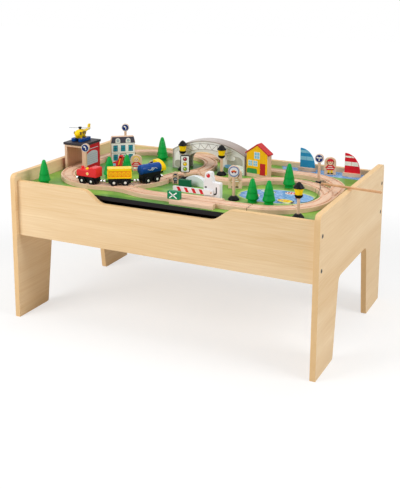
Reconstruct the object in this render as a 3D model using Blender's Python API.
"""Wooden activity table with a lift-out play board and its train set.

Units are metres, +Z is up and the table stands on z = 0. Sizes along X are given from the
table's own centre; the whole part is then moved by FRAME_X, so that the origin lies under the
middle of its outline, which the fishing rod over the right side panel makes wider.
"""
import math

import bmesh
import bpy
from mathutils import Matrix, Vector

# Table carcass
TABLE_LENGTH = 0.900
TABLE_DEPTH = 0.600
TABLE_HEIGHT = 0.420
PANEL = 0.015
PANEL_INSET = 0.012
RAIL_TOP = TABLE_HEIGHT - 0.020
RAIL_HEIGHT = 0.156
RAIL_BOTTOM = RAIL_TOP - RAIL_HEIGHT
TOP_CORNER = 0.015
ARCH_TOP = RAIL_BOTTOM - 0.0295
ARCH_CORNER = 0.020
LEG_FOOT = 0.138
LEG_SPREAD = 0.030
FOOT_CORNER = 0.006
SCOOP_FLOOR = RAIL_TOP - 0.034
SCOOP_FLAT = 0.155
SCOOP_FLANK = 0.067
FLOOR_BOTTOM = RAIL_BOTTOM + 0.006
CLEAT = 0.018
GAP = 0.0003
SEAT = 0.004
FUSE = 0.0006

# Fittings
BOLT_HEIGHTS = (RAIL_BOTTOM + 0.034, RAIL_TOP - 0.035)
BOLT_RADIUS = 0.0030
BOLT_HEAD_RADIUS = 0.0045
BOLT_RIM = 0.0006
BOLT_MARK = 0.0008
BOLT_KEY_RADIUS = 0.0020
BOLT_REACH = 0.032
BARREL_RADIUS = 0.0050
BARREL_FROM_END = 0.025
DOWEL_RADIUS = 0.0040
DOWEL_IN_PANEL = 0.018
DOWEL_HEIGHT = (RAIL_TOP + RAIL_BOTTOM) / 2
FLOOR_DOWEL_Y = 0.150

# Play board
BOARD = 0.012
BOARD_TOP = RAIL_TOP - 0.014
BOARD_PLAY = 0.0015
FISH = 0.003

# Track: a plank with two rail grooves
TRACK_WIDTH = 0.040
TRACK = 0.012
TRACK_EDGE = 0.001
GROOVE_CENTRE = 0.013
GROOVE_WIDTH = 0.0064
GROOVE_DEPTH = 0.003
TURN_RADIUS = 0.150
TIGHT_RADIUS = 0.100
TURN_STEP = math.radians(9.0)
LEFT_LOOP = Vector((-0.240, -0.060))
RIGHT_LOOP = Vector((0.240, -0.075))
REAR_RUN_Y = 0.248
LEFT_REAR_X = -0.240
CENTRE_ARC_X = -0.185
REAR_RIGHT_Y = 0.165
REAR_RIGHT_START = 0.150
MIDDLE_X = 0.065
CROSSING_START = 0.030
CROSSING_END = 0.155
CROSSING_WIDTH = 0.078
CROSSING_SLOPE = 0.006

# Train
WHEEL_RADIUS = 0.0105
WHEEL_WIDTH = 0.0034
HUB_RADIUS = 0.0042
HUB_OUT = 0.0014
WHEEL_EDGE = 0.0008
AXLE_RADIUS = 0.0016
WHEELBASE = 0.031
CHASSIS_LENGTH = 0.062
CHASSIS_WIDTH = 0.0205
CHASSIS_BOTTOM = 0.0058
BODY_BOTTOM = 0.0228
BODY_WIDTH = 0.031
CAR_PITCH = math.radians(34.0)
ENGINE_AT = math.radians(-93.0)
MAGNET_RADIUS = 0.0042
MAGNET = 0.0060
COUPLER_RADIUS = 0.0022
MAGNET_RISE = 0.0130

# Buildings, signs and lamps
STATION_X = -0.390
STATION_Y = -0.028
STATION_WIDTH = 0.070
STATION_DEPTH = 0.085
STATION_HEIGHT = 0.078
STATION_WALL = 0.0085
STATION_ROOF = 0.007
STATION_LINTEL = 0.006
STATION_EAVE = 0.003
TUNNEL_FRONT = -0.023
TUNNEL_REAR = 0.023
TUNNEL_FACE = 0.006
TUNNEL_SHEET = 0.003
TUNNEL_LIP = 0.002
POLE_RADIUS = 0.0040
BASE_RADIUS = 0.0150
BASE_HEIGHT = 0.0110
LAMP_POLE_TOP = 0.0560
SIGN_RADIUS = 0.0125
CROSSING_SIGN_RADIUS = 0.0155
SIGN_THICK = 0.0080
SIGN_CENTRE = 0.0770

# Crossing gate and helicopter
GATE_ARM = 0.0050
GATE_PIN = 0.0026
MAST_RADIUS = 0.0020

# Fishing rod, lying from the track over the right side panel
ROD_RADIUS = 0.0032
ROD_LENGTH = 0.290
ROD_TIP = Vector((0.3360, 0.0600))
ROD_REST_Y = -0.0300
LINE_RADIUS = 0.0006

HALF_LENGTH = TABLE_LENGTH / 2
HALF_DEPTH = TABLE_DEPTH / 2
INNER_X = HALF_LENGTH - PANEL
RAIL_OUTER_Y = HALF_DEPTH - PANEL_INSET
RAIL_MID_Y = RAIL_OUTER_Y - PANEL / 2
INNER_Y = RAIL_OUTER_Y - PANEL
BOARD_BOTTOM = BOARD_TOP - BOARD
ON_BOARD = BOARD_TOP + GAP
TRACK_TOP = ON_BOARD + TRACK

ROD_REST = Vector((INNER_X, ROD_REST_Y, TABLE_HEIGHT + ROD_RADIUS * 1.03 + GAP))
ROD_START = Vector((ROD_TIP.x, ROD_TIP.y, TRACK_TOP + ROD_RADIUS + GAP))
ROD_DIRECTION = (ROD_REST - ROD_START).normalized()
ROD_END = ROD_START + ROD_DIRECTION * ROD_LENGTH
ROD_END_X = ROD_END.x + ROD_RADIUS * math.sqrt(1 - ROD_DIRECTION.x ** 2)
FRAME_X = -(ROD_END_X - HALF_LENGTH) / 2

SIDEWAYS = Matrix(((0, 0, 1, 0), (1, 0, 0, 0), (0, 1, 0, 0), (0, 0, 0, 1)))
UPRIGHT = Matrix(((1, 0, 0, 0), (0, 0, 1, 0), (0, 1, 0, 0), (0, 0, 0, 1)))

COLOURS = {
    "maple": ((0.86, 0.69, 0.46), 0.5, 0.0),
    "beech": ((0.78, 0.58, 0.39), 0.5, 0.0),
    "steel": ((0.20, 0.20, 0.21), 0.35, 1.0),
    "bright_steel": ((0.75, 0.75, 0.76), 0.25, 1.0),
    "board_print": ((0.20, 0.38, 0.08), 0.4, 0.0),
    "green_paint": ((0.01, 0.33, 0.06), 0.4, 0.0),
    "dark_green_paint": ((0.01, 0.20, 0.09), 0.4, 0.0),
    "red_paint": ((0.75, 0.03, 0.03), 0.35, 0.0),
    "yellow_paint": ((0.95, 0.68, 0.02), 0.35, 0.0),
    "blue_paint": ((0.01, 0.07, 0.40), 0.35, 0.0),
    "white_paint": ((0.85, 0.85, 0.85), 0.4, 0.0),
    "grey_paint": ((0.50, 0.49, 0.47), 0.5, 0.0),
    "black_plastic": ((0.012, 0.012, 0.013), 0.35, 0.0),
    "navy_print": ((0.02, 0.05, 0.15), 0.4, 0.0),
    "line": ((0.02, 0.09, 0.05), 0.5, 0.0),
}


def clear_scene():
    for item in list(bpy.data.objects):
        bpy.data.objects.remove(item, do_unlink=True)


def material(name):
    """One Principled material for each finish, shared by the pieces that have it."""
    if name in bpy.data.materials:
        return bpy.data.materials[name]
    colour, roughness, metallic = COLOURS[name]
    made = bpy.data.materials.new(name)
    made.use_nodes = True
    shader = made.node_tree.nodes["Principled BSDF"]
    shader.inputs["Base Color"].default_value = (*colour, 1.0)
    shader.inputs["Roughness"].default_value = roughness
    shader.inputs["Metallic"].default_value = metallic
    return made


def body(name, x=0.0, y=0.0, z=0.0, parent=None):
    """An empty that a moving group hangs on, placed on the group's joint."""
    empty = bpy.data.objects.new(name, None)
    bpy.context.collection.objects.link(empty)
    if parent is None:
        empty.location = (x + FRAME_X, y, z)
    else:
        empty.parent = parent
        empty.location = Vector((x, y, z)) - centre_of(parent)
    return empty


def centre_of(empty):
    """Where an empty stands, in the table's own coordinates."""
    place = Vector(empty.location)
    if empty.parent is None:
        place.x -= FRAME_X
        return place
    return place + centre_of(empty.parent)


def add_object(name, shape, finish, parent, at=(0.0, 0.0, 0.0), turn=0.0):
    """Turn a bmesh built round its own origin into a named object on its body."""
    bmesh.ops.recalc_face_normals(shape, faces=shape.faces)
    mesh = bpy.data.meshes.new(name)
    shape.to_mesh(mesh)
    shape.free()
    mesh.shade_smooth()
    mesh.set_sharp_from_angle(angle=math.radians(35.0))
    made = bpy.data.objects.new(name, mesh)
    bpy.context.collection.objects.link(made)
    made.parent = parent
    made.location = Vector(at) - centre_of(parent)
    made.rotation_euler.z = turn
    if finish is not None:
        mesh.materials.append(material(finish))
    return made


def combine(target, shape, operation):
    """Cut or join another shape, given in the target's own coordinates, by a live Boolean."""
    name = f"{target.name}.{operation.lower()}{len(target.modifiers)}"
    bmesh.ops.recalc_face_normals(shape, faces=shape.faces)
    mesh = bpy.data.meshes.new(name)
    shape.to_mesh(mesh)
    shape.free()
    cutter = bpy.data.objects.new(name, mesh)
    bpy.context.collection.objects.link(cutter)
    cutter.parent = target
    cutter.hide_render = True
    cutter.display_type = "WIRE"
    modifier = target.modifiers.new(name, "BOOLEAN")
    modifier.operation = operation
    modifier.solver = "EXACT"
    modifier.object = cutter
    return modifier


def prism(shape, outline, low, high, matrix=Matrix()):
    """A flat outline in X and Y, carried along Z from low to high."""
    bottom = [shape.verts.new(matrix @ Vector((u, v, low))) for u, v in outline]
    top = [shape.verts.new(matrix @ Vector((u, v, high))) for u, v in outline]
    shape.faces.new(bottom[::-1])
    shape.faces.new(top)
    for i in range(len(outline)):
        j = (i + 1) % len(outline)
        shape.faces.new((bottom[i], bottom[j], top[j], top[i]))


def block(shape, low, high):
    outline = ((low[0], low[1]), (high[0], low[1]), (high[0], high[1]), (low[0], high[1]))
    prism(shape, outline, low[2], high[2])


def turned(shape, profile, steps, matrix=Matrix()):
    """A profile of (radius, height) pairs spun about Z; a radius of 0 is a point on the axis."""
    rings = []
    for radius, height in profile:
        if radius == 0.0:
            rings.append([shape.verts.new(matrix @ Vector((0.0, 0.0, height)))])
            continue
        ring = []
        for k in range(steps):
            angle = math.tau * k / steps
            point = Vector((radius * math.cos(angle), radius * math.sin(angle), height))
            ring.append(shape.verts.new(matrix @ point))
        rings.append(ring)
    for lower, upper in zip(rings, rings[1:]):
        for k in range(steps):
            n = (k + 1) % steps
            if len(lower) == 1:
                shape.faces.new((lower[0], upper[n], upper[k]))
            elif len(upper) == 1:
                shape.faces.new((lower[k], lower[n], upper[0]))
            else:
                shape.faces.new((lower[k], lower[n], upper[n], upper[k]))


def rod(shape, radius, low, high, steps, matrix=Matrix()):
    turned(shape, ((0.0, low), (radius, low), (radius, high), (0.0, high)), steps, matrix)


def ring(shape, inner, outer, low, high, steps, matrix=Matrix()):
    """A ring about Z, for the line that shows round a fitting."""
    loops = []
    for radius, height in ((inner, low), (outer, low), (outer, high), (inner, high)):
        loop = []
        for k in range(steps):
            angle = math.tau * k / steps
            point = Vector((radius * math.cos(angle), radius * math.sin(angle), height))
            loop.append(shape.verts.new(matrix @ point))
        loops.append(loop)
    for near, far in zip(loops, loops[1:] + loops[:1]):
        for k in range(steps):
            n = (k + 1) % steps
            shape.faces.new((near[k], near[n], far[n], far[k]))


def along(start, direction):
    """A matrix that sends local Z along a direction, from a starting point."""
    turn = Vector((0.0, 0.0, 1.0)).rotation_difference(Vector(direction)).to_matrix().to_4x4()
    return Matrix.Translation(Vector(start)) @ turn


def rounded(corners, steps=4):
    """An outline of (x, y, radius) corners, each with a radius turned into an arc."""
    points = []
    count = len(corners)
    for i, (x, y, radius) in enumerate(corners):
        corner = Vector((x, y))
        if radius == 0.0:
            points.append((x, y))
            continue
        before = (Vector(corners[i - 1][:2]) - corner).normalized()
        after = (Vector(corners[(i + 1) % count][:2]) - corner).normalized()
        half = before.angle(after) / 2
        centre = corner + (before + after).normalized() * (radius / math.sin(half))
        start = corner + before * (radius / math.tan(half)) - centre
        sweep = start.angle_signed(corner + after * (radius / math.tan(half)) - centre)
        for k in range(steps + 1):
            turn = Matrix.Rotation(-sweep * k / steps, 2)
            spot = centre + turn @ start
            points.append((spot.x, spot.y))
    return points


def oval(width, height, steps, centre=(0.0, 0.0), first=0.0, last=math.tau):
    """Points on an ellipse, evenly spread between two angles."""
    spread = last - first
    count = steps if abs(spread - math.tau) < 1e-6 else steps + 1
    return [(centre[0] + width / 2 * math.cos(first + spread * k / steps),
             centre[1] + height / 2 * math.sin(first + spread * k / steps)) for k in range(count)]


# Track paths are lists of (x, y, heading), made by runs and turns from a starting place

def run(path, length):
    x, y, heading = path[-1]
    return path + [(x + length * math.cos(heading), y + length * math.sin(heading), heading)]


def turn(path, radius, sweep):
    """Carry a path on round an arc: a positive sweep turns left."""
    x, y, heading = path[-1]
    side = math.copysign(1.0, sweep)
    centre = Vector((x - side * radius * math.sin(heading), y + side * radius * math.cos(heading)))
    steps = max(1, math.ceil(abs(sweep) / TURN_STEP - 1e-6))
    made = list(path)
    for k in range(1, steps + 1):
        now = heading + sweep * k / steps
        spot = (centre.x + side * radius * math.sin(now), centre.y - side * radius * math.cos(now))
        made.append((*spot, now))
    return made


def shift_bend(offset, length):
    """The radius and angle of two equal arcs that step a path aside by an offset over a length."""
    radius = (offset ** 2 + length ** 2) / (4 * offset)
    return radius, math.asin(length / (2 * radius))


def sweep_section(shape, path, section, lift=0.0, overrun=0.0):
    """Carry a cross-section of (side, height) points along a path."""
    rings = []
    last = len(path) - 1
    for i, (x, y, heading) in enumerate(path):
        ahead = overrun * ((i == last) - (i == 0))
        x += ahead * math.cos(heading)
        y += ahead * math.sin(heading)
        side = Vector((math.sin(heading), -math.cos(heading)))
        rings.append([shape.verts.new((x + side.x * s, y + side.y * s, lift + h)) for s, h in section])
    shape.faces.new(rings[0][::-1])
    shape.faces.new(rings[-1])
    size = len(section)
    for near, far in zip(rings, rings[1:]):
        for k in range(size):
            n = (k + 1) % size
            shape.faces.new((near[k], near[n], far[n], far[k]))


def track_section():
    half = TRACK_WIDTH / 2
    floor = TRACK - GROOVE_DEPTH
    inner = GROOVE_CENTRE - GROOVE_WIDTH / 2
    outer = GROOVE_CENTRE + GROOVE_WIDTH / 2
    right = [(half, 0.0), (half, TRACK - TRACK_EDGE), (half - TRACK_EDGE, TRACK), (outer, TRACK),
             (outer, floor), (inner, floor), (inner, TRACK)]
    return right + [(-s, h) for s, h in reversed(right)]


def plain_section():
    half = TRACK_WIDTH / 2
    right = [(half, 0.0), (half, TRACK - TRACK_EDGE), (half - TRACK_EDGE, TRACK)]
    return right + [(-s, h) for s, h in reversed(right)]


def groove_sections():
    """The two rail grooves as cutters, open at the top."""
    inner = GROOVE_CENTRE - GROOVE_WIDTH / 2
    outer = GROOVE_CENTRE + GROOVE_WIDTH / 2
    floor = TRACK - GROOVE_DEPTH
    right = [(inner, floor), (outer, floor), (outer, TRACK + GROOVE_DEPTH), (inner, TRACK + GROOVE_DEPTH)]
    return right, [(-s, h) for s, h in reversed(right)]


def build_carcass(table):
    """Two side panels with arched legs, the rails between them, and the storage floor.

    The bolts, dowels and cleats belong to the panel that they are fixed in.
    """
    leg = HALF_DEPTH - LEG_FOOT
    side = [(-HALF_DEPTH, 0.0, 0.0), (-leg, 0.0, FOOT_CORNER), (-leg + LEG_SPREAD, ARCH_TOP, ARCH_CORNER),
            (leg - LEG_SPREAD, ARCH_TOP, ARCH_CORNER), (leg, 0.0, FOOT_CORNER), (HALF_DEPTH, 0.0, 0.0),
            (HALF_DEPTH, TABLE_HEIGHT, TOP_CORNER), (-HALF_DEPTH, TABLE_HEIGHT, TOP_CORNER)]
    reach = INNER_Y - GAP
    cleat_top = BOARD_BOTTOM - GAP
    for name, sign in (("side_panel_left", -1), ("side_panel_right", 1)):
        shape = bmesh.new()
        prism(shape, rounded(side), 0.0, PANEL, SIDEWAYS)
        start = INNER_X if sign > 0 else -HALF_LENGTH
        panel = add_object(name, shape, "maple", table, (start, 0.0, 0.0))
        outer = PANEL if sign > 0 else 0.0
        inner = PANEL - outer
        fixed = bmesh.new()
        near, far = sorted((inner + sign * SEAT, inner - sign * CLEAT))
        block(fixed, (near, CLEAT - reach, cleat_top - CLEAT), (far, reach - CLEAT, cleat_top))
        marks = bmesh.new()
        for y in (-RAIL_MID_Y, RAIL_MID_Y):
            for z in BOLT_HEIGHTS:
                rod(fixed, BOLT_RADIUS, -SEAT, BOLT_REACH, 10, along((inner, y, z), (-sign, 0, 0)))
                into = along((outer, y, z), (-sign, 0, 0))
                ring(marks, BOLT_HEAD_RADIUS, BOLT_HEAD_RADIUS + BOLT_RIM, -BOLT_RIM, BOLT_MARK, 12, into)
                rod(marks, BOLT_KEY_RADIUS, -BOLT_RIM, BOLT_MARK * 2, 6, into)
            rod(fixed, DOWEL_RADIUS, -SEAT, DOWEL_IN_PANEL, 10, along((inner, y, DOWEL_HEIGHT), (-sign, 0, 0)))
        for y in (-FLOOR_DOWEL_Y, FLOOR_DOWEL_Y):
            rod(fixed, DOWEL_RADIUS, -SEAT, DOWEL_IN_PANEL, 10,
                along((inner, y, FLOOR_BOTTOM + PANEL / 2), (-sign, 0, 0)))
        combine(panel, fixed, "UNION")
        combine(panel, marks, "DIFFERENCE")

    end = INNER_X - GAP
    plain = [(-end, RAIL_BOTTOM), (end, RAIL_BOTTOM), (end, RAIL_TOP), (-end, RAIL_TOP)]
    fall = RAIL_TOP - SCOOP_FLOOR
    flank = []
    for k in range(9):
        share = k / 8
        height = SCOOP_FLOOR + fall * (1 + math.cos(math.pi * share)) / 2
        flank.append((SCOOP_FLAT + SCOOP_FLANK * (1 - share), height))
    scooped = plain[:3] + flank + [(-x, z) for x, z in reversed(flank)] + plain[3:]
    for name, outline, sign in (("front_panel", scooped, -1), ("rear_panel", plain, 1)):
        shape = bmesh.new()
        prism(shape, outline, -PANEL / 2, PANEL / 2, UPRIGHT)
        panel = add_object(name, shape, "maple", table, (0.0, sign * RAIL_MID_Y, 0.0))
        if sign > 0:
            cleat = bmesh.new()
            width = INNER_X - BARREL_FROM_END - 2 * BARREL_RADIUS
            block(cleat, (-width, -PANEL / 2 - CLEAT, cleat_top - CLEAT), (width, SEAT - PANEL / 2, cleat_top))
            combine(panel, cleat, "UNION")
        holes = bmesh.new()
        for way in (-1, 1):
            for z in BOLT_HEIGHTS:
                rod(holes, BOLT_RADIUS + GAP, -2 * GAP, BOLT_REACH + GAP, 10,
                    along((way * end, 0.0, z), (-way, 0, 0)))
                ring(holes, BARREL_RADIUS, BARREL_RADIUS + BOLT_RIM, -BOLT_RIM, BOLT_MARK, 12,
                     along((way * (INNER_X - BARREL_FROM_END), -sign * PANEL / 2, z), (0, sign, 0)))
            rod(holes, DOWEL_RADIUS + GAP, -2 * GAP, DOWEL_IN_PANEL + GAP, 10,
                along((way * end, 0.0, DOWEL_HEIGHT), (-way, 0, 0)))
        combine(panel, holes, "DIFFERENCE")

    shape = bmesh.new()
    block(shape, (-end, -reach, 0.0), (end, reach, PANEL))
    floor = add_object("storage_floor", shape, "maple", table, (0.0, 0.0, FLOOR_BOTTOM))
    holes = bmesh.new()
    for way in (-1, 1):
        for y in (-FLOOR_DOWEL_Y, FLOOR_DOWEL_Y):
            rod(holes, DOWEL_RADIUS + GAP, -2 * GAP, DOWEL_IN_PANEL + GAP, 10,
                along((way * end, y, PANEL / 2), (-way, 0, 0)))
    combine(floor, holes, "DIFFERENCE")


def build_board(board):
    """The printed board that drops in between the panels, with the fish that lie in its lake."""
    shape = bmesh.new()
    x = INNER_X - BOARD_PLAY
    y = INNER_Y - BOARD_PLAY
    prism(shape, rounded([(-x, -y, 0.004), (x, -y, 0.004), (x, y, 0.004), (-x, y, 0.004)]), 0.0, BOARD)
    made = add_object("play_board", shape, "board_print", board, (0.0, 0.0, BOARD_BOTTOM))
    fish = bmesh.new()
    places = ((0.288, -0.108, 0.046, 0.021, -10.0), (0.276, -0.030, 0.034, 0.014, 4.0),
              (0.226, -0.045, 0.022, 0.012, 50.0), (0.201, -0.085, 0.024, 0.012, -60.0),
              (0.204, -0.033, 0.026, 0.011, 10.0))
    for x, y, length, width, angle in places:
        at = Matrix.Translation((x, y, 0.0)) @ Matrix.Rotation(math.radians(angle), 4, "Z")
        flank = oval(length * 0.8, width, 12, (-length * 0.1, 0.0), math.radians(-160.0), math.radians(160.0))
        flank = [(-u, v) for u, v in flank]
        tail = [(length * 0.5, width * 0.42), (length * 0.5, -width * 0.42)]
        prism(fish, flank + tail, BOARD - FUSE, BOARD + FISH, at)
    combine(made, fish, "UNION")


def start_at(centre, radius, angle, leftward=True):
    """A path that begins on a circle, heading round it to the left or to the right."""
    side = 1 if leftward else -1
    return [(centre[0] + radius * math.cos(angle), centre[1] + radius * math.sin(angle),
             angle + side * math.pi / 2)]


def build_track(board):
    """The layout, in runs of pieces that are plugged into one another."""
    deg = math.radians
    radius = TURN_RADIUS
    crossing_y = RIGHT_LOOP.y - radius
    centre_arc = Vector((CENTRE_ARC_X, REAR_RUN_Y - radius))
    right_rear = Vector((RIGHT_LOOP.x, REAR_RIGHT_Y - radius))
    quarter = deg(90.0)
    split = deg(45.0)
    leave = deg(15.0)
    centre_sweep = deg(47.0)

    # Offsets and angles of the S-bends
    up_offset = centre_arc.x - LEFT_LOOP.x
    up_radius, up_angle = shift_bend(up_offset, centre_arc.y - LEFT_LOOP.y)
    dip_y = centre_arc.y - TIGHT_RADIUS
    down_radius, down_angle = shift_bend(RIGHT_LOOP.y + radius - dip_y, RIGHT_LOOP.x - MIDDLE_X)
    front_fall = LEFT_LOOP.y - radius * math.cos(leave) + radius * (1 - math.cos(leave)) - crossing_y
    front_angle = math.acos(1 - front_fall / (2 * radius))
    rear_angle = math.acos(1 - (REAR_RUN_Y - REAR_RIGHT_Y) / (2 * radius))
    rear_join_x = REAR_RIGHT_START - 2 * radius * math.sin(rear_angle)

    left = run([(CENTRE_ARC_X, REAR_RUN_Y, deg(180.0))], CENTRE_ARC_X - LEFT_REAR_X)
    left = turn(left, radius, quarter)
    left = turn(run(left, centre_arc.y - LEFT_LOOP.y), radius, quarter)

    front_stem = [(LEFT_LOOP.x, LEFT_LOOP.y - radius, 0.0)]
    shared = turn(front_stem, radius, leave)
    crest = turn(shared, radius, -leave - front_angle)
    lead_in = turn(crest, radius, front_angle)
    front = run(lead_in, CROSSING_START - lead_in[-1][0])

    centre = turn(start_at(LEFT_LOOP, radius, -split), radius, split)
    centre = turn(turn(centre, up_radius, -up_angle), up_radius, up_angle)
    centre = turn(centre, radius, centre_sweep)
    inner = turn(start_at(centre_arc, radius, leave, False), radius, -leave)
    inner = turn(inner, TIGHT_RADIUS, deg(60.0))

    rear = run([(CENTRE_ARC_X, REAR_RUN_Y, 0.0)], rear_join_x - CENTRE_ARC_X)
    rear = turn(turn(rear, radius, -rear_angle), radius, rear_angle)
    rear_branch = turn([(CENTRE_ARC_X, REAR_RUN_Y, 0.0)], radius, centre_sweep - quarter)

    right = turn(run([(CROSSING_END, crossing_y, 0.0)], RIGHT_LOOP.x - CROSSING_END), radius, quarter)
    right = turn(run(right, right_rear.y - RIGHT_LOOP.y), radius, quarter)
    right = run(right, RIGHT_LOOP.x - REAR_RIGHT_START)
    right_branch = turn(start_at(RIGHT_LOOP, radius, 0.0), radius, split)

    middle = turn(start_at(RIGHT_LOOP, radius, split), radius, split)
    middle = turn(turn(middle, down_radius, down_angle), down_radius, -down_angle)
    middle = turn(middle, TIGHT_RADIUS, deg(-30.0))

    for name, path in (("track_left", left), ("track_middle", middle)):
        shape = bmesh.new()
        sweep_section(shape, path, track_section(), ON_BOARD, -GAP)
        add_object(name, shape, "beech", board)

    switched = {"track_front": (front, turn(shared, radius, split - leave)), "track_centre": (centre, inner),
                "track_rear": (rear, rear_branch), "track_right": (right, right_branch)}
    for name, ways in switched.items():
        shape = bmesh.new()
        sweep_section(shape, ways[0], plain_section(), ON_BOARD, -GAP)
        made = add_object(name, shape, "beech", board)
        branch = bmesh.new()
        sweep_section(branch, ways[1], plain_section(), ON_BOARD, -GAP)
        combine(made, branch, "UNION")
        for path in ways:
            for section in groove_sections():
                groove = bmesh.new()
                sweep_section(groove, path, section, ON_BOARD, GROOVE_DEPTH)
                combine(made, groove, "DIFFERENCE")

    half = CROSSING_WIDTH / 2
    shoulder = half - CROSSING_SLOPE
    low = TRACK - CROSSING_SLOPE / 2
    section = [(half, 0.0), (half, low), (shoulder, TRACK), (-shoulder, TRACK), (-half, low), (-half, 0.0)]
    path = run([(CROSSING_START, crossing_y, 0.0)], CROSSING_END - CROSSING_START)
    shape = bmesh.new()
    sweep_section(shape, path, section, ON_BOARD, -GAP)
    crossing = add_object("crossing_block", shape, "beech", board)
    for section in groove_sections():
        groove = bmesh.new()
        sweep_section(groove, path, section, ON_BOARD, GROOVE_DEPTH)
        combine(crossing, groove, "DIFFERENCE")
    post = bmesh.new()
    prism(post, rail_block(), -0.006, 0.006,
          Matrix.Translation((0.040, crossing_y - 0.0265, TRACK_TOP - FUSE)) @ UPRIGHT)
    combine(crossing, post, "UNION")


def rail_block():
    """Outline of the small blocks that stand for a piece of fence."""
    return rounded([(-0.0175, 0.0, 0.0), (0.0175, 0.0, 0.0), (0.0175, 0.0215, 0.002),
                    (-0.0175, 0.0215, 0.002)], 2)


def wheelset(name, parent, at, turn_angle):
    """Two wheels on an axle, turned in one piece about the axle's own line."""
    face = GROOVE_CENTRE + WHEEL_WIDTH / 2
    back = GROOVE_CENTRE - WHEEL_WIDTH / 2
    half = [(AXLE_RADIUS, back), (WHEEL_RADIUS, back), (WHEEL_RADIUS, face - WHEEL_EDGE),
            (WHEEL_RADIUS - WHEEL_EDGE, face), (HUB_RADIUS, face), (HUB_RADIUS * 0.7, face + HUB_OUT),
            (0.0, face + HUB_OUT)]
    profile = [(r, -t) for r, t in reversed(half)] + half
    shape = bmesh.new()
    turned(shape, profile, 12, along((0.0, 0.0, 0.0), (0, 1, 0)))
    return add_object(name, shape, "black_plastic", parent, at, turn_angle)


def build_train(board):
    """Engine and two wagons on the curve of the left loop, held together by magnets."""
    base = TRACK_TOP - GROOVE_DEPTH + GAP
    axle_z = base + WHEEL_RADIUS
    inward = TURN_RADIUS - WHEELBASE ** 2 / 8 / TURN_RADIUS
    half = CHASSIS_LENGTH / 2
    wide = CHASSIS_WIDTH / 2
    sill = rounded([(-half, CHASSIS_BOTTOM + 0.004, 0.0), (-half + 0.004, CHASSIS_BOTTOM, 0.0),
                    (half - 0.004, CHASSIS_BOTTOM, 0.0), (half, CHASSIS_BOTTOM + 0.004, 0.0),
                    (half, BODY_BOTTOM + FUSE, 0.0), (-half, BODY_BOTTOM + FUSE, 0.0)])
    neck = inward * math.tan(CAR_PITCH / 2) - MAGNET_RADIUS * math.tan(CAR_PITCH / 2) - GAP
    for index, name in enumerate(("engine", "wagon", "tanker")):
        angle = ENGINE_AT + CAR_PITCH * index
        heading = angle + math.pi / 2
        vehicle = body(f"{name}_run", LEFT_LOOP.x, LEFT_LOOP.y, 0.0, board)
        spot = (LEFT_LOOP.x + inward * math.cos(angle), LEFT_LOOP.y + inward * math.sin(angle))
        made = BODIES_ON_WHEELS[name](vehicle, (*spot, base), heading)

        chassis = bmesh.new()
        prism(chassis, sill, -wide, wide, UPRIGHT)
        combine(made, chassis, "UNION")
        magnets = bmesh.new()
        for way in (-1, 1):
            turned(magnets, ((0.0, half - SEAT), (COUPLER_RADIUS, half - SEAT), (COUPLER_RADIUS, neck - MAGNET),
                             (MAGNET_RADIUS, neck - MAGNET), (MAGNET_RADIUS, neck), (0.0, neck)),
                   12, along((0.0, 0.0, MAGNET_RISE), (way, 0, 0)))
        combine(made, magnets, "UNION")
        bores = bmesh.new()
        for x in (-WHEELBASE / 2, WHEELBASE / 2):
            rod(bores, AXLE_RADIUS + GAP, -wide * 2, wide * 2, 12, along((x, 0.0, WHEEL_RADIUS), (0, 1, 0)))
        combine(made, bores, "DIFFERENCE")

        forward = Vector((math.cos(heading), math.sin(heading)))
        for place, way in (("front", -1), ("rear", 1)):
            x = spot[0] + forward.x * way * WHEELBASE / 2
            y = spot[1] + forward.y * way * WHEELBASE / 2
            axle = body(f"{name}_axle_{place}", x, y, axle_z, vehicle)
            wheelset(f"{name}_wheels_{place}", axle, (x, y, axle_z), heading)


def engine_body(parent, at, turn_angle):
    """A rounded bonnet in front of a higher cab, with a chimney."""
    wide = BODY_WIDTH / 2
    shape = bmesh.new()
    outline = rounded([(-0.033, 0.0, 0.0), (0.033, 0.0, 0.0), (0.033, 0.027, 0.004), (0.008, 0.027, 0.004),
                       (0.006, 0.0185, 0.002), (-0.033, 0.0185, 0.006)], 3)
    lift = Matrix.Translation((0.0, 0.0, BODY_BOTTOM))
    prism(shape, outline, -wide, wide, lift @ UPRIGHT)
    chimney = bmesh.new()
    rod(chimney, 0.0042, 0.010, 0.0255, 12, lift @ Matrix.Translation((-0.022, 0.0, 0.0)))
    made = add_object("engine", shape, "red_paint", parent, at, turn_angle)
    bevel = made.modifiers.new("soft edges", "BEVEL")
    bevel.width = 0.0025
    bevel.segments = 2
    bevel.limit_method = "ANGLE"
    bevel.angle_limit = math.radians(50.0)
    combine(made, chimney, "UNION")
    return made


def wagon_body(parent, at, turn_angle):
    """A square box wagon with a sunk panel on each side."""
    wide = BODY_WIDTH / 2
    low = BODY_BOTTOM
    shape = bmesh.new()
    block(shape, (-0.0335, -wide, low), (0.0335, wide, low + 0.0275))
    made = add_object("wagon", shape, "yellow_paint", parent, at, turn_angle)
    recess = bmesh.new()
    for way in (-1, 1):
        near, far = sorted((way * (wide - 0.0012), way * (wide + 0.002)))
        block(recess, (-0.0305, near, low + 0.003), (0.0305, far, low + 0.0215))
    combine(made, recess, "DIFFERENCE")
    return made


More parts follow.
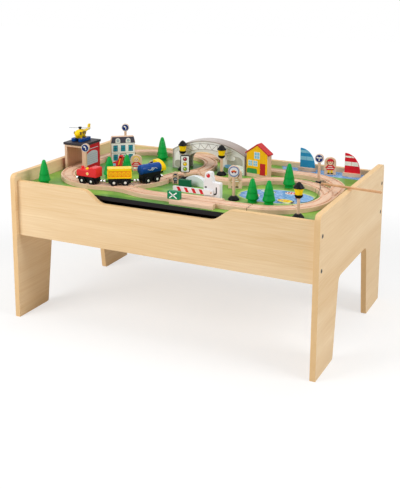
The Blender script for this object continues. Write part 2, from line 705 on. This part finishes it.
def tanker_body(parent, at, turn_angle):
    """A round tank lying on a saddle board."""
    shape = bmesh.new()
    radius = 0.0142
    end = 0.0345
    middle = BODY_BOTTOM + 0.0035 + radius
    turned(shape, ((0.0, -end), (radius - 0.003, -end), (radius, -end + 0.003), (radius, end - 0.003),
                   (radius - 0.003, end), (0.0, end)), 20, along((0.0, 0.0, middle), (1, 0, 0)))
    made = add_object("tanker", shape, "blue_paint", parent, at, turn_angle)
    saddle = bmesh.new()
    block(saddle, (-0.030, -0.011, BODY_BOTTOM), (0.030, 0.011, BODY_BOTTOM + 0.008))
    combine(made, saddle, "UNION")
    return made


BODIES_ON_WHEELS = {"engine": engine_body, "wagon": wagon_body, "tanker": tanker_body}


def build_station(board):
    """A fire station that the train passes through: two walls under a flat roof."""
    wide = STATION_WIDTH / 2
    deep = STATION_DEPTH / 2
    inside = wide - STATION_WALL
    top = STATION_HEIGHT + FUSE
    under = STATION_HEIGHT - STATION_LINTEL
    outline = [(-wide, 0.0), (-inside, 0.0), (-inside, under), (inside, under), (inside, 0.0), (wide, 0.0),
               (wide, top), (-wide, top)]
    shape = bmesh.new()
    prism(shape, outline, -deep, deep, UPRIGHT)
    made = add_object("fire_station", shape, "beech", board, (STATION_X, STATION_Y, ON_BOARD))
    roof = bmesh.new()
    x = wide + STATION_EAVE
    y = deep + STATION_EAVE
    prism(roof, rounded([(-x, -y, 0.002), (x, -y, 0.002), (x, y, 0.002), (-x, y, 0.002)], 2),
          STATION_HEIGHT, STATION_HEIGHT + STATION_ROOF)
    combine(made, roof, "UNION")


def build_helicopter(board):
    """A float helicopter on the station's roof, nose to the front, with a turning rotor."""
    ground = ON_BOARD + STATION_HEIGHT + STATION_ROOF + GAP
    x0 = STATION_X - 0.004
    y0 = STATION_Y
    lift = 0.0225
    belly = 0.0105
    profile = [(0.0, -0.026), (0.0065, -0.0245), (0.0105, -0.019), (0.0125, -0.010), (0.0125, 0.002),
               (0.0105, 0.012), (0.0065, 0.020), (0.0040, 0.026), (0.0032, 0.044), (0.0, 0.045)]
    shape = bmesh.new()
    turned(shape, profile, 14, along((0.0, 0.0, lift), (0, 1, 0)))
    for vertex in shape.verts:
        beyond = max(0.0, vertex.co.y - 0.012)
        vertex.co.z = max(belly, vertex.co.z) + beyond * 0.28
    made = add_object("helicopter", shape, "yellow_paint", board, (x0, y0, ground))
    outline = rounded([(-0.007, -0.027, 0.005), (0.007, -0.027, 0.005), (0.007, 0.027, 0.005),
                       (-0.007, 0.027, 0.005)], 3)
    floats = bmesh.new()
    for x in (-0.0125, 0.0125):
        prism(floats, outline, 0.0, 0.010, Matrix.Translation((x, 0.0, 0.0)))
    combine(made, floats, "UNION")
    struts = bmesh.new()
    for y in (-0.012, 0.010):
        block(struts, (-0.0115, y - 0.002, 0.0060), (0.0115, y + 0.002, 0.0125))
    combine(made, struts, "UNION")
    fin = bmesh.new()
    prism(fin, rounded([(0.036, lift + 0.004, 0.0), (0.047, lift + 0.006, 0.001), (0.050, lift + 0.020, 0.002),
                        (0.042, lift + 0.018, 0.002)], 2), -0.0016, 0.0016, SIDEWAYS)
    combine(made, fin, "UNION")
    mast = bmesh.new()
    mast_y = -0.004
    mast_top = lift + 0.0185
    rod(mast, MAST_RADIUS, lift, mast_top, 10, Matrix.Translation((0.0, mast_y, 0.0)))
    combine(made, mast, "UNION")

    spot = (x0, y0 + mast_y, ground + mast_top)
    rotor = body("rotor_spin", *spot, board)
    shape = bmesh.new()
    blade = 0.034
    prism(shape, rounded([(-blade, -0.0035, 0.003), (blade, -0.0035, 0.003), (blade, 0.0035, 0.003),
                          (-blade, 0.0035, 0.003)], 3), -0.0025, -0.0010)
    made = add_object("helicopter_rotor", shape, "grey_paint", rotor, spot, math.radians(20.0))
    hub = bmesh.new()
    rod(hub, 0.0052, -0.0035, 0.0015, 12)
    combine(made, hub, "UNION")
    hole = bmesh.new()
    rod(hole, MAST_RADIUS + GAP, -0.0050, GAP, 10)
    combine(made, hole, "DIFFERENCE")


def build_houses(board):
    """A hotel cut from thick board, and a gabled house with its roof."""
    shape = bmesh.new()
    hotel = [(-0.037, 0.0), (0.037, 0.0), (0.037, 0.062), (0.0385, 0.0625), (0.034, 0.083), (-0.034, 0.083),
             (-0.0385, 0.0625), (-0.037, 0.062)]
    prism(shape, hotel, -0.010, 0.010, UPRIGHT)
    add_object("hotel", shape, "beech", board, (-0.322, 0.094, ON_BOARD), math.radians(38.0))

    eave = 0.070
    apex = 0.095
    half = 0.035
    shape = bmesh.new()
    prism(shape, [(-half, 0.0), (half, 0.0), (half, eave), (0.0, apex), (-half, eave)], -0.012, 0.012, UPRIGHT)
    made = add_object("house", shape, "yellow_paint", board, (0.128, 0.112, ON_BOARD), math.radians(-8.0))
    slope = (apex - eave) / half
    out = half + 0.004
    low = eave - 0.004 * slope
    thick = 0.0042
    roof = bmesh.new()
    prism(roof, [(-out, low - FUSE), (0.0, apex - FUSE), (out, low - FUSE), (out, low + thick),
                 (0.0, apex + thick), (-out, low + thick)], -0.0135, 0.0135, UPRIGHT)
    combine(made, roof, "UNION")


def build_tunnel(board):
    """A road bridge over the track: two cut-out faces under one bent sheet."""
    half = 0.117
    leg = 0.056
    apex = 0.090
    rise = apex - leg
    radius = (half ** 2 + rise ** 2) / (2 * rise)
    spread = math.asin(half / radius)
    left, right, height = -0.073, 0.045, 0.058
    middle = (left + right) / 2
    opening = oval(right - left, (height - 0.022) * 2, 12, (middle, 0.022), math.pi, 0.0)

    def crown(offset):
        return [((radius + offset) * math.sin(spread - 2 * spread * k / 16),
                 apex - radius + (radius + offset) * math.cos(spread - 2 * spread * k / 16)) for k in range(17)]

    outline = [(-half, 0.0), (left, 0.0)] + opening + [(right, 0.0), (half, 0.0)] + crown(0.0)
    shape = bmesh.new()
    prism(shape, outline, TUNNEL_FRONT, TUNNEL_FRONT + TUNNEL_FACE, UPRIGHT)
    made = add_object("tunnel", shape, "grey_paint", board, (-0.0315, 0.128, ON_BOARD))
    rear = bmesh.new()
    prism(rear, outline, TUNNEL_REAR - TUNNEL_FACE, TUNNEL_REAR, UPRIGHT)
    combine(made, rear, "UNION")
    wide = half + TUNNEL_SHEET
    inner = [(half - FUSE, 0.0)] + [(min(max(x, FUSE - half), half - FUSE), z) for x, z in crown(-FUSE)]
    outer = [(wide, 0.0)] + [(min(max(x, -wide), wide), z) for x, z in crown(TUNNEL_SHEET)]
    sheet = bmesh.new()
    prism(sheet, inner + [(FUSE - half, 0.0), (-wide, 0.0)] + outer[:0:-1] + [(wide, 0.0)],
          TUNNEL_FRONT - TUNNEL_LIP, TUNNEL_REAR + TUNNEL_LIP, UPRIGHT)
    combine(made, sheet, "UNION")


def build_trees(board):
    """Turned fir trees, each with three slight tiers."""
    places = ((-0.379, -0.238), (-0.257, -0.090), (-0.228, -0.039), (-0.222, 0.171), (-0.243, 0.207),
              (0.215, -0.148), (0.261, -0.147), (0.250, 0.034))
    heights = (0.070, 0.062, 0.060, 0.063, 0.067, 0.064, 0.063, 0.069)
    profile = ((0.0, 0.0), (0.0095, 0.0), (0.0150, 0.05), (0.0118, 0.36), (0.0098, 0.38), (0.0078, 0.66),
               (0.0058, 0.68), (0.0030, 0.95), (0.0, 1.0))
    for number, ((x, y), height) in enumerate(zip(places, heights), 1):
        shape = bmesh.new()
        turned(shape, [(r, h * height) for r, h in profile], 12)
        add_object(f"tree_{number}", shape, "green_paint", board, (x, y, ON_BOARD))


LAMPS = ((-0.108, 0.086), (0.022, 0.082), (0.371, -0.232))
SIGNS = ((-0.344, -0.080), (-0.405, 0.250), (0.315, 0.0985), (0.163, -0.150))
SIGN_TURNS = (10.0, 25.0, 5.0, 20.0)
SIGN_RADII = (SIGN_RADIUS, SIGN_RADIUS, SIGN_RADIUS, CROSSING_SIGN_RADIUS)
SIGNAL = (-0.045, -0.022)
SIGNAL_FOOT = 0.0240


def build_poles(board):
    """Lamps, road signs and the traffic light all stand on the same turned foot and pole."""
    foot = [(0.0, 0.0), (BASE_RADIUS, 0.0), (BASE_RADIUS, 0.0030), (0.0110, BASE_HEIGHT - 0.003),
            (0.0068, BASE_HEIGHT), (POLE_RADIUS, BASE_HEIGHT)]
    ring_low = LAMP_POLE_TOP - 0.005
    ring_top = ring_low + 0.0085
    glass_top = ring_top + 0.0160
    lamp = foot + [(POLE_RADIUS, ring_low), (0.0070, ring_low), (0.0105, ring_low + 0.005), (0.0105, ring_top),
                   (0.0090, ring_top), (0.0115, glass_top), (0.0135, glass_top), (0.0135, glass_top + 0.0025),
                   (0.0080, glass_top + 0.0095), (0.0020, glass_top + 0.0150), (0.0, glass_top + 0.0155)]
    for number, (x, y) in enumerate(LAMPS, 1):
        shape = bmesh.new()
        turned(shape, lamp, 10)
        add_object(f"street_lamp_{number}", shape, "black_plastic", board, (x, y, ON_BOARD))

    post_top = SIGN_CENTRE - SIGN_RADIUS + 0.005
    for number, ((x, y), angle) in enumerate(zip(SIGNS, SIGN_TURNS), 1):
        shape = bmesh.new()
        turned(shape, foot + [(POLE_RADIUS, post_top), (0.0, post_top)], 12)
        made = add_object(f"road_sign_{number}", shape, "beech", board, (x, y, ON_BOARD), math.radians(angle))
        disc = bmesh.new()
        rod(disc, SIGN_RADII[number - 1], -SIGN_THICK / 2, SIGN_THICK / 2, 20, along((0.0, 0.0, SIGN_CENTRE), (0, -1, 0)))
        combine(made, disc, "UNION")

    shape = bmesh.new()
    turned(shape, foot + [(POLE_RADIUS, SIGNAL_FOOT + 0.006), (0.0, SIGNAL_FOOT + 0.006)], 12)
    made = add_object("traffic_light", shape, "black_plastic", board, (*SIGNAL, ON_BOARD), math.radians(22.0))
    case = bmesh.new()
    high = 0.050
    outline = rounded([(-0.0135, SIGNAL_FOOT, 0.004), (0.0135, SIGNAL_FOOT, 0.004),
                       (0.0135, SIGNAL_FOOT + high, 0.004), (-0.0135, SIGNAL_FOOT + high, 0.004)], 2)
    prism(case, outline, -0.006, 0.006, UPRIGHT)
    combine(made, case, "UNION")


def build_figures(board):
    """People printed on small arched blocks, and the red and yellow site vehicles."""
    people = {"girl_block": (-0.227, 0.014, 0.034, 0.049, 28.0), "worker_block": (0.306, 0.232, 0.034, 0.052, 20.0),
              "walker_block": (0.119, -0.040, 0.038, 0.055, 22.0), "warden_block": (-0.052, -0.069, 0.016, 0.034, 25.0),
              "child_block": (-0.200, 0.058, 0.015, 0.024, 25.0)}
    for name, (x, y, wide, high, angle) in people.items():
        crown = oval(wide, wide * 0.8, 8, (0.0, high - wide * 0.4), 0.0, math.pi)
        shape = bmesh.new()
        prism(shape, [(-wide / 2, 0.0), (wide / 2, 0.0)] + crown, -0.005, 0.005, UPRIGHT)
        add_object(name, shape, "beech", board, (x, y, ON_BOARD), math.radians(angle))

    shape = bmesh.new()
    digger = rounded([(-0.017, 0.0, 0.002), (0.013, 0.0, 0.002), (0.013, 0.018, 0.0), (0.017, 0.042, 0.003),
                      (0.006, 0.043, 0.003), (0.002, 0.026, 0.003), (-0.017, 0.020, 0.004)], 2)
    prism(shape, digger, -0.0075, 0.0075, UPRIGHT)
    add_object("digger", shape, "red_paint", board, (-0.289, 0.010, ON_BOARD), math.radians(15.0))

    shape = bmesh.new()
    prism(shape, rounded([(-0.021, 0.0, 0.003), (0.021, 0.0, 0.003), (0.021, 0.010, 0.0), (-0.006, 0.012, 0.0),
                          (-0.008, 0.030, 0.002), (-0.019, 0.030, 0.004)], 2), -0.008, 0.008, UPRIGHT)
    made = add_object("tipper", shape, "black_plastic", board, (-0.167, 0.030, ON_BOARD), math.radians(-20.0))
    hood = oval(0.074, 0.052, 10, (-0.004, 0.0125), math.radians(92.0), math.radians(4.0))
    tray = bmesh.new()
    prism(tray, hood + [(0.0310, 0.0090), (-0.0060, 0.0090)], -0.0095, 0.0095, UPRIGHT)
    combine(made, tray, "UNION")


def build_crossing_gate(board):
    """A gate stand behind the level crossing, its striped arm, and the blocks about it."""
    depth = 0.018
    crossing_y = RIGHT_LOOP.y - TURN_RADIUS
    back = crossing_y + CROSSING_WIDTH / 2
    place = (0.113, back + 0.0055 + depth / 2, ON_BOARD)
    shape = bmesh.new()
    outline = rounded([(-0.023, 0.0, 0.0), (0.023, 0.0, 0.0), (0.023, 0.046, 0.004), (0.002, 0.048, 0.002),
                       (-0.002, 0.074, 0.005), (-0.018, 0.074, 0.005), (-0.023, 0.046, 0.003)], 3)
    prism(shape, outline, -depth / 2, depth / 2, UPRIGHT)
    stand = add_object("gate_stand", shape, "white_paint", board, place)
    pivot_z = 0.0205
    boss = bmesh.new()
    rod(boss, GATE_PIN, -depth / 2 + SEAT, depth / 2 + GATE_ARM + 3 * GAP, 12, along((0.0, 0.0, pivot_z), (0, -1, 0)))
    combine(stand, boss, "UNION")

    pivot = (place[0], place[1] - depth / 2, place[2] + pivot_z)
    swing = body("gate_swing", *pivot, board)
    reach = 0.112
    high = 0.0068
    shape = bmesh.new()
    arm = rounded([(-reach, -high, 0.002), (0.006, -high, 0.004), (0.006, high, 0.004), (-reach, high, 0.002)], 3)
    prism(shape, arm, -GATE_ARM - GAP, -GAP, UPRIGHT)
    made = add_object("gate_arm", shape, "white_paint", swing, pivot)
    hole = bmesh.new()
    rod(hole, GATE_PIN + GAP, -2 * GATE_ARM, 2 * GATE_ARM, 12, along((0.0, 0.0, 0.0), (0, -1, 0)))
    combine(made, hole, "DIFFERENCE")

    shape = bmesh.new()
    prism(shape, rail_block(), -0.006, 0.006, UPRIGHT)
    add_object("fence_block", shape, "dark_green_paint", board, (-0.010, -0.092, ON_BOARD))

    shape = bmesh.new()
    hood = [(-0.032, 0.0), (0.032, 0.0)] + oval(0.064, 0.030, 10, (0.0, 0.013), 0.0, math.pi)
    prism(shape, hood, -0.008, 0.008, UPRIGHT)
    add_object("platform", shape, "white_paint", board, (0.010, -0.062, ON_BOARD), math.radians(-12.0))


def boat_outline(length, width):
    nose = length / 2
    side = width / 2
    return [(-nose, -side * 0.6), (-nose * 0.3, -side), (nose * 0.3, -side), (nose, 0.0), (nose * 0.3, side),
            (-nose * 0.3, side), (-nose, side * 0.6)]


def build_boats(board):
    """Two sailing boats on the printed water, each with a quarter-round sail."""
    for name, x, y, paint in (("boat_blue", 0.232, 0.2445, "blue_paint"), ("boat_red", 0.372, 0.236, "red_paint")):
        shape = bmesh.new()
        prism(shape, boat_outline(0.056, 0.020), 0.0, 0.011)
        made = add_object(name, shape, paint, board, (x, y, ON_BOARD))
        edge = oval(0.092, 0.112, 8, (-0.023, 0.013), math.pi / 2, 0.0)
        sail = bmesh.new()
        prism(sail, [(-0.023, 0.011 - FUSE)] + edge + [(0.0225, 0.011 - FUSE)], -0.002, 0.002, UPRIGHT)
        combine(made, sail, "UNION")


def build_fishing_rod(board):
    """A dowel with a line and a magnet on its end, for the fish."""
    shape = bmesh.new()
    rod(shape, ROD_RADIUS, 0.0, ROD_LENGTH, 10, along((0.0, 0.0, 0.0), ROD_DIRECTION))
    add_object("fishing_rod", shape, "beech", board, ROD_START)

    magnet_at = Vector((0.3080, -0.0620, ON_BOARD))
    shape = bmesh.new()
    turned(shape, ((0.0, 0.0), (0.0042, 0.0), (0.0046, 0.001), (0.0046, 0.005), (0.0030, 0.0065), (0.0, 0.0065)), 12)
    add_object("line_magnet", shape, "red_paint", board, magnet_at)

    on_track = TRACK_TOP + LINE_RADIUS + GAP
    on_print = ON_BOARD + LINE_RADIUS
    back = ROD_DIRECTION * -1
    start = ROD_START + back * GAP
    route = [start, start + back * 0.004, Vector((0.3330, 0.0590, on_track + 0.0010)),
             Vector((0.3345, 0.0500, on_track)), Vector((0.3400, 0.0360, on_track)),
             Vector((0.3445, 0.0220, on_track)), Vector((0.3480, 0.0090, on_track)),
             Vector((0.3500, -0.0030, on_track + 0.0002)), Vector((0.3507, -0.0080, on_track)),
             Vector((0.3512, -0.0120, on_track - 0.0022)), Vector((0.3514, -0.0155, on_track - 0.0065)),
             Vector((0.3515, -0.0205, on_print + 0.0028)),
             Vector((0.3516, -0.0270, on_print)), Vector((0.3520, -0.0450, on_print)),
             Vector((0.3510, -0.0650, on_print)), Vector((0.3460, -0.0850, on_print)),
             Vector((0.3360, -0.0970, on_print)), Vector((0.3230, -0.0960, on_print)),
             Vector((0.3155, -0.0850, on_print + 0.0005)), Vector((0.3130, -0.0740, on_print + 0.0025)),
             Vector((0.3108, -0.0666, on_print + 0.0060)), magnet_at + Vector((0.0004, -0.0008, 0.0078)),
             magnet_at + Vector((0.0, 0.0, 0.0065 + GAP + LINE_RADIUS))]
    points = smooth_route(route, 2)
    curve = bpy.data.curves.new("fishing_line", "CURVE")
    curve.dimensions = "3D"
    curve.bevel_depth = LINE_RADIUS
    curve.bevel_resolution = 2
    curve.use_fill_caps = True
    spline = curve.splines.new("POLY")
    spline.points.add(len(points) - 1)
    for spot, point in zip(points, spline.points):
        point.co = (*spot, 1.0)
    curve.materials.append(material("line"))
    made = bpy.data.objects.new("fishing_line", curve)
    bpy.context.collection.objects.link(made)
    made.parent = board
    made.location = -centre_of(board)


def smooth_route(points, steps):
    """A Catmull-Rom curve through the points of a route."""
    full = [points[0] * 2 - points[1]] + points + [points[-1] * 2 - points[-2]]
    made = []
    for a, b, c, d in zip(full, full[1:], full[2:], full[3:]):
        for k in range(steps):
            t = k / steps
            made.append(0.5 * (2 * b + (c - a) * t + (2 * a - 5 * b + 4 * c - d) * t * t
                               + (3 * b - a - 3 * c + d) * t ** 3))
    made.append(points[-1])
    return made


def main():
    clear_scene()
    table = body("table")
    board = body("board_lift", 0.0, 0.0, BOARD_BOTTOM)
    build_carcass(table)
    build_board(board)
    build_track(board)
    build_train(board)
    build_station(board)
    build_helicopter(board)
    build_houses(board)
    build_tunnel(board)
    build_trees(board)
    build_poles(board)
    build_figures(board)
    build_crossing_gate(board)
    build_boats(board)
    build_fishing_rod(board)


main()
